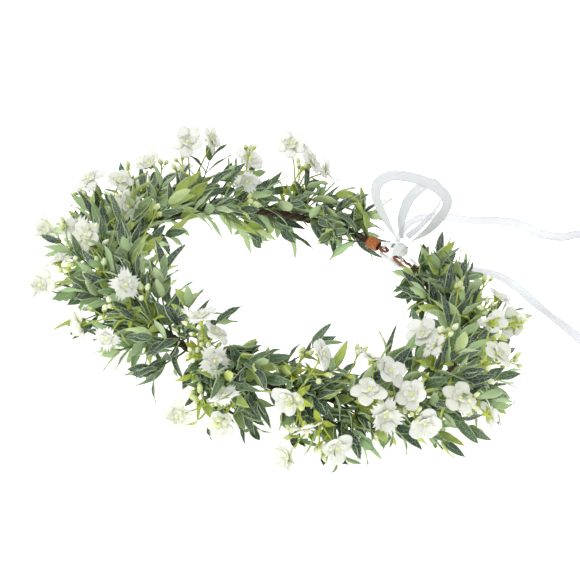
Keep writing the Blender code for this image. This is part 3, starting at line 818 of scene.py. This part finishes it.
def makeVine():
    batch = newBatch()
    for strand in range(vine["strands"]):
        path, radii = [], []
        for step in range(vine["steps"] + 1):
            share = step / vine["steps"]
            angle = hoop["leftEnd"] + (hoop["rightEnd"] - hoop["leftEnd"]) * share
            turn = 2 * math.pi * (share * vine["length"] / vine["pitch"] + strand / vine["strands"])
            off = outward(angle) * math.cos(turn) + up * math.sin(turn)
            wobble = 1 + 0.16 * math.sin(step * 0.9 + strand * 2.0)
            path.append(vinePoint(angle) + off * vine["spread"] * wobble)
            radii.append(vine["strandRadius"] * (1 + 0.12 * math.sin(step * 1.7 + strand)))
        addTube(batch, path, [0.0002, *radii[1:-1], 0.0002], 7, 0, 0.5)
    return finishBatch("twisted_vine", batch, (bark,))


vinePiece = makeVine()
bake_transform(vinePiece)
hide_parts("right_vine", "left_vine")

endFittings = {
    "loopWidth": 0.0046, "wireRadius": 0.0008, "rightLength": 0.0155, "leftLength": 0.0062,
    "gap": 0.0003, "tapeLength": 0.007, "tapeWall": 0.0009, "kink": 0.00035,
}


def makeEndLoop(name, angle, length, way, chance):
    forward = along(angle) * way
    side = outward(angle)
    half = endFittings["loopWidth"] / 2
    wire = endFittings["wireRadius"]
    near = vinePoint(angle) + forward * (endFittings["gap"] + wire + half)
    straight = max(0.0004, length - endFittings["loopWidth"] - 2 * wire)
    path = []
    for middle, first, edge, shares in (
        (near, 90.0, -half, (0.2, 0.4, 0.6, 0.8)),
        (near + forward * straight, -90.0, half, (0.8, 0.6, 0.4, 0.2)),
    ):
        for step in range(9):
            turn = math.radians(first + step * 22.5)
            path.append(middle + (forward * math.cos(turn) + side * math.sin(turn)) * half)
        path += [
            near + side * edge + forward * straight * share
            + Vector([chance.uniform(-1, 1) * endFittings["kink"] for _ in range(3)])
            for share in shares
        ]
    batch = newBatch()
    path.append(path[0].copy())
    radii = [wire * (1 + 0.14 * math.sin(i * 2.1)) for i in range(len(path))]
    radii[-1] = radii[0]
    addTube(batch, path, radii, 7, 0, 0.5)
    return finishBatch(name, batch, (paper,))


def makeTapeBand(name, angle, way):
    batch = newBatch()
    half = endFittings["tapeLength"] / 2
    inner = hoop["vineRadius"] + endFittings["gap"]
    outer = inner + endFittings["tapeWall"]
    direction = along(angle)
    middle = vinePoint(angle) - direction * way * (half + endFittings["gap"])
    lip = direction * 0.00005
    for wrap in range(3):
        path, radii = [], []
        start = -half + wrap * half * 0.62
        for step in range(9):
            path.append(middle + direction * (start + (half * 0.78) * step / 8))
            bulge = 0.45 + 0.5 * math.sin(math.pi * step / 8) ** 0.5
            radii.append(inner + (outer - inner) * bulge + 0.00008 * wrap)
        path = [path[0] - lip, *path, path[-1] + lip]
        addTube(batch, path, [inner * 0.96, *radii, inner * 0.96], 26, 0, 0.5)
    return finishBatch(name, batch, (floralTape,))


for sideName, way, angle in (("right", 1.0, hoop["rightEnd"]), ("left", -1.0, hoop["leftEnd"])):
    chance = random.Random(f"{sideName} loop")
    loop = makeEndLoop(f"{sideName}_wire_loop", angle, endFittings[f"{sideName}Length"], way, chance)
    band = makeTapeBand(f"{sideName}_tape", angle, way)
    for piece, node, slotName in (
        (loop, f"{sideName}_end_loop", "paper_wire"), (band, f"{sideName}_tape_band", "floral_tape"),
    ):
        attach(piece, f"{sideName}_side")
        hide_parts(node)
print("vine and loops made")


# Ribbon: knot, lacing, bow loops and the two free tails

ribbon = {
    "width": 0.006, "thickness": 0.0003, "endWidth": 0.8,
    "knotAngle": 84.0, "knotLift": 0.0058, "knotX": 0.0046, "knotY": 0.0034, "knotZ": 0.0036,
    "knotBand": 0.0046, "bandOver": 1.07, "frontTurn": 32.0, "backTurn": 70.0,
    "backShift": (-0.0035, 0.0058, 0.0), "lacingRadius": 0.0008, "lacingSpread": 1.6,
    "lacingFlat": 0.55, "lacingDrop": 0.0034, "lacingTuck": 0.0012,
    # share of the length, and how far the ribbon is rolled there
    "frontRolls": ((0.0, 20.0), (0.12, 55.0), (0.30, 70.0), (0.45, 80.0), (0.60, 75.0),
                   (0.70, 60.0), (0.80, 75.0), (0.92, 50.0), (1.0, 15.0)),
    "backRolls": ((0.0, 0.0), (0.3, 30.0), (0.7, 40.0), (1.0, 0.0)),
    "tailBackRolls": ((0.0, 20.0), (0.16, 40.0), (0.30, 62.0), (0.42, 70.0), (0.52, 84.0),
                      (0.66, 80.0), (1.0, 64.0)),
    "tailSideRolls": ((0.0, -20.0), (0.25, 0.0), (0.45, 0.0), (0.60, 62.0), (0.72, 15.0),
                      (0.86, 60.0), (1.0, 20.0)),
}
knotCentre = vinePoint(ribbon["knotAngle"]) + up * ribbon["knotLift"]
bowFront = (  # across and up from the knot, in metres
    (-0.0032, 0.0052), (-0.013, 0.016), (-0.0215, 0.028), (-0.0225, 0.037),
    (-0.0165, 0.0435), (-0.005, 0.0455), (0.006, 0.0445), (0.0140, 0.0410),
    (0.0178, 0.0360), (0.0168, 0.0285), (0.0115, 0.016), (0.0032, 0.0052),
)
bowBack = (
    (-0.0022, 0.0052), (-0.0055, 0.017), (-0.0035, 0.031), (0.006, 0.040),
    (0.0165, 0.036), (0.0185, 0.025), (0.011, 0.013), (0.0022, 0.0052),
)
tailBack = (  # points on the way to the bare end, in millimetres
    (4.2, 98.4, 38.6), (0, 106, 33), (-6, 118, 21), (-14, 132, 8), (-24, 148, 1.6),
    (-35, 166, 0.8), (-44, 185, 0.8), (-48, 205, 0.8), (-41, 224, 0.8), (-28, 239, 0.8),
    (-20, 255, 0.8), (-9, 267, 0.8), (5, 269, 0.8), (15, 279, 0.8), (19, 295, 0.8),
    (28, 309, 0.8),
)
tailSide = (
    (15.2, 96.0, 38.6), (18, 102, 33), (19, 112, 21), (17, 125, 8), (12, 139, 1.6),
    (6, 155, 0.8), (3, 172, 0.8), (8, 188, 0.8), (22, 195, 0.8), (38, 193, 0.8),
    (53, 189, 0.8), (68, 186, 0.8), (83, 181, 0.8), (98, 176, 0.8), (114, 179, 0.8),
    (124, 192, 0.8),
)


def smoothRoute(route, step):
    ends = [route[0] * 2 - route[1], *route, route[-1] * 2 - route[-2]]
    fine = [route[0]]
    for a, b, c, d in zip(ends, ends[1:], ends[2:], ends[3:]):
        for i in range(1, 13):
            t = i / 12
            fine.append((b * 2 + (c - a) * t + (a * 2 - b * 5 + c * 4 - d) * t ** 2
                         + (b * 3 - a - c * 3 + d) * t ** 3) / 2)
    lengths = np.concatenate([[0.0], np.cumsum([(q - p).length for p, q in zip(fine, fine[1:])])])
    wanted = np.linspace(0.0, lengths[-1], round(lengths[-1] / step) + 1)
    places = np.array([tuple(p) for p in fine])
    return [Vector([np.interp(w, lengths, places[:, i]) for i in range(3)]) for w in wanted]


def tangentAt(points, number):
    return (points[min(len(points) - 1, number + 1)] - points[max(0, number - 1)]).normalized()


def rollAt(rolls, share):
    return float(np.interp(share, *zip(*rolls)))


def addStrip(batch, points, acrossAt, widthAt, crease, look):
    columns = 7
    u = np.linspace(-1.0, 1.0, columns)
    rows, normalRows = [], []
    for number, point in enumerate(points):
        tangent = tangentAt(points, number)
        across = acrossAt(number)
        across = (across - tangent * across.dot(tangent)).normalized()
        normal = tangent.cross(across)
        half = widthAt(number) / 2
        folds = [crease * half * math.cos(x * 3.1 + number * 0.15) for x in u]
        rows.append([
            tuple(point + across * (half * x) + normal * fold) for x, fold in zip(u, folds)
        ])
        normalRows.append([tuple(normal)] * columns)
    share = np.linspace(0.0, 1.0, len(points))[:, None]
    places = np.stack(np.broadcast_arrays(u, share, 0.0), -1)
    grid, normals = np.array(rows), np.array(normalRows)
    addBlade(batch, grid, normals, ribbon["thickness"], (look, look), places)


def makeBowLoop(name, centre, outline, turn, material, crease, rolls):
    flat = smoothRoute([Vector((x, 0.0, z)) for x, z in outline], 0.0016)
    plane = Matrix.Translation(centre) @ Matrix.Rotation(math.radians(turn), 4, "Z")
    points = [plane @ p for p in flat]
    across = plane.to_3x3() @ Vector((0.0, 1.0, 0.0))
    count = len(points)

    def acrossAt(number):
        return rotated(across, tangentAt(points, number), rollAt(rolls, number / (count - 1)))

    def widthAt(number):
        nearEnd = min(1.0, min(number, count - 1 - number) / (count * 0.16))
        return ribbon["width"] * (ribbon["endWidth"] + (1.0 - ribbon["endWidth"]) * nearEnd)

    batch = newBatch()
    addStrip(batch, points, acrossAt, widthAt, crease, 0)
    return finishBatch(name, batch, (material,))


def makeKnot():
    batch = newBatch()
    sideways = Vector((1.0, 0.0, 0.0))
    ends = ((1.0, 0.08), (0.93, 0.42), (0.72, 0.76), (0.3, 0.97))
    shape = [(-reach, wide) for reach, wide in ends] + list(reversed(ends))
    path = [knotCentre + sideways * (ribbon["knotX"] * reach) for reach, _ in shape]
    radii = [ribbon["knotZ"] * wide for _, wide in shape]
    addTube(batch, path, radii, 22, 0, 0.0, ribbon["knotY"] / ribbon["knotZ"])
    band = []
    for step in range(29):
        turn = 2 * math.pi * step / 28
        band.append(knotCentre + Vector((
            0.0008 * math.sin(turn), math.cos(turn) * ribbon["bandOver"] * ribbon["knotY"],
            math.sin(turn) * ribbon["bandOver"] * ribbon["knotZ"],
        )))
    addStrip(batch, band, lambda _: sideways, lambda _: ribbon["knotBand"], 0.08, 0)
    return finishBatch("tied_knot", batch, (satin,))


def makeLacing():
    right, left = hoop["rightEnd"], hoop["leftEnd"]
    down = vinePoint(right) + along(right) * (endFittings["rightLength"] * 0.62)
    rise = vinePoint(left) - along(left) * (endFittings["leftLength"] * 0.5)
    drop, tuck = up * ribbon["lacingDrop"], up * ribbon["lacingTuck"]
    leftOfKnot = knotCentre - Vector((ribbon["knotX"] + 0.0009, 0.0, 0.0))
    underKnot = Vector((down.x, down.y, knotCentre.z - ribbon["knotZ"] - 0.0006))
    route = [
        underKnot, down + tuck, down - tuck, down - drop, rise - drop, rise - tuck,
        rise + tuck, rise + drop, leftOfKnot - Vector((0.003, 0.0, 0.0008)), leftOfKnot,
    ]
    points = smoothRoute(route, 0.0009)
    radii = []
    for point in points:
        inLoop = min((point - down).length, (point - rise).length)
        spread = min(1.0, max(0.0, (inLoop - 0.0018) / 0.0022))
        radii.append(ribbon["lacingRadius"] * (1.2 + ribbon["lacingSpread"] * spread))
    batch = newBatch()
    addTube(batch, points, radii, 10, 0, 0.0, ribbon["lacingFlat"])
    piece = finishBatch("laced_ribbon", batch, (satin,))
    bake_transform(piece)
    return piece


def makeTail(name, route, rolls):
    points = smoothRoute([Vector(p) / 1000 for p in route], 0.0030)

    def acrossAt(number):
        tangent = tangentAt(points, number)
        flat = tangent.cross(up)
        flat = flat.normalized() if flat.length > 1e-3 else Vector((1.0, 0.0, 0.0))
        return rotated(flat, tangent, rollAt(rolls, number / (len(points) - 1)))

    def widthAt(number):
        return ribbon["width"] * min(1.0, 0.55 + number / 10)

    raised = []  # high enough for the ribbon's lower edge to clear the table
    for number, point in enumerate(points):
        rise = abs(acrossAt(number).z) * ribbon["width"] / 2
        raised.append(Vector((point.x, point.y, max(point.z, rise + 0.0005))))
    batch = newBatch()
    addStrip(batch, raised, acrossAt, widthAt, 0.05, 0)
    tail = finishBatch(name, batch, (sheer,))
    return tail


knot = makeKnot()
lacing = makeLacing()
loopFront = makeBowLoop(
    "bow_front", knotCentre, bowFront, ribbon["frontTurn"], satin, 0.06, ribbon["frontRolls"],
)
loopBack = makeBowLoop(
    "bow_back", knotCentre + Vector(ribbon["backShift"]), bowBack, ribbon["backTurn"], sheer, 0.10,
    ribbon["backRolls"],
)
tailPieces = (
    (makeTail("back_tail", tailBack, ribbon["tailBackRolls"]), "ribbon_tail_back"),
    (makeTail("side_tail", tailSide, ribbon["tailSideRolls"]), "ribbon_tail_side"),
)
for piece, node in (
    (knot, "ribbon_knot"), (lacing, "ribbon_lacing"), (loopFront, "bow_loop_front"),
    (loopBack, "bow_loop_back"), *tailPieces,
):
    if piece is not lacing:
        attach(piece, "right_side")
    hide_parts(node)
print("ribbon made")


# Table, light and camera

studio = {
    "floorHalf": 4.0, "floorGlow": 0.75, "skyStrength": 0.72, "distance": 1.23,
    "azimuth": 32.0, "elevation": 28.0, "roll": 15.0, "lens": 140.0,
    "aimRight": 0.0016, "aimUp": 0.0071, "lampAim": (0.0, 0.0, 0.03),
    # name, place, size in metres, power in watts
    "lamps": (("softbox above left", (-0.9, -0.9, 1.5), 0.8, 16.0),
              ("softbox right", (1.4, -0.5, 0.9), 0.8, 4.0)),
}


def makeFloor():
    half = studio["floorHalf"]
    mesh = bpy.data.meshes.new("table")
    corners = [(-half, -half, 0), (half, -half, 0), (half, half, 0), (-half, half, 0)]
    mesh.from_pydata(corners, [], [(0, 1, 2, 3)])
    material, _ = newMaterial("matt white laminate", {
        "Roughness": 0.9, "IOR": 1.45, "Specular IOR Level": 0.2,
        "Base Color": linear("#FFFFFF"), "Emission Color": (1.0, 1.0, 1.0, 1.0),
        "Emission Strength": studio["floorGlow"],
    })
    mesh.materials.append(material)
    floor = bpy.data.objects.new("table", mesh)
    bpy.context.scene.collection.objects.link(floor)


def addLamp(name, place, size, power):
    data = bpy.data.lights.new(name, "AREA")
    data.energy = power
    data.size = size
    lamp = bpy.data.objects.new(name, data)
    bpy.context.scene.collection.objects.link(lamp)
    lamp.location = place
    towards = Vector(studio["lampAim"]) - Vector(place)
    lamp.rotation_euler = towards.to_track_quat("-Z", "Y").to_euler()


makeFloor()
world = bpy.data.worlds.new("studio")
world.use_nodes = True
sky = world.node_tree.nodes["Background"]
sky.inputs["Color"].default_value = (1.0, 1.0, 1.0, 1.0)
sky.inputs["Strength"].default_value = studio["skyStrength"]
bpy.context.scene.world = world
for lampName, place, size, power in studio["lamps"]:
    addLamp(lampName, place, size, power)
bpy.context.scene.view_settings.view_transform = "Standard"

azimuth, elevation = math.radians(studio["azimuth"]), math.radians(studio["elevation"])
level = math.cos(elevation)
back = Vector((math.sin(azimuth) * level, -math.cos(azimuth) * level, math.sin(elevation)))
roll = Matrix.Rotation(math.radians(studio["roll"]), 3, "Z").to_quaternion()
aimTurn = (-back).to_track_quat("-Z", "Y") @ roll
hoopCentre = Vector((hoop["centreX"], hoop["centreY"], vineHeight))
aim = hoopCentre + aimTurn @ Vector((studio["aimRight"], studio["aimUp"], 0.0))
cameraData = bpy.data.cameras.new("camera")
cameraData.lens = studio["lens"]
camera = bpy.data.objects.new("camera", cameraData)
bpy.context.scene.collection.objects.link(camera)
camera.rotation_mode = "QUATERNION"
camera.rotation_quaternion = aimTurn
camera.location = aim + back * studio["distance"]
bpy.context.scene.camera = camera
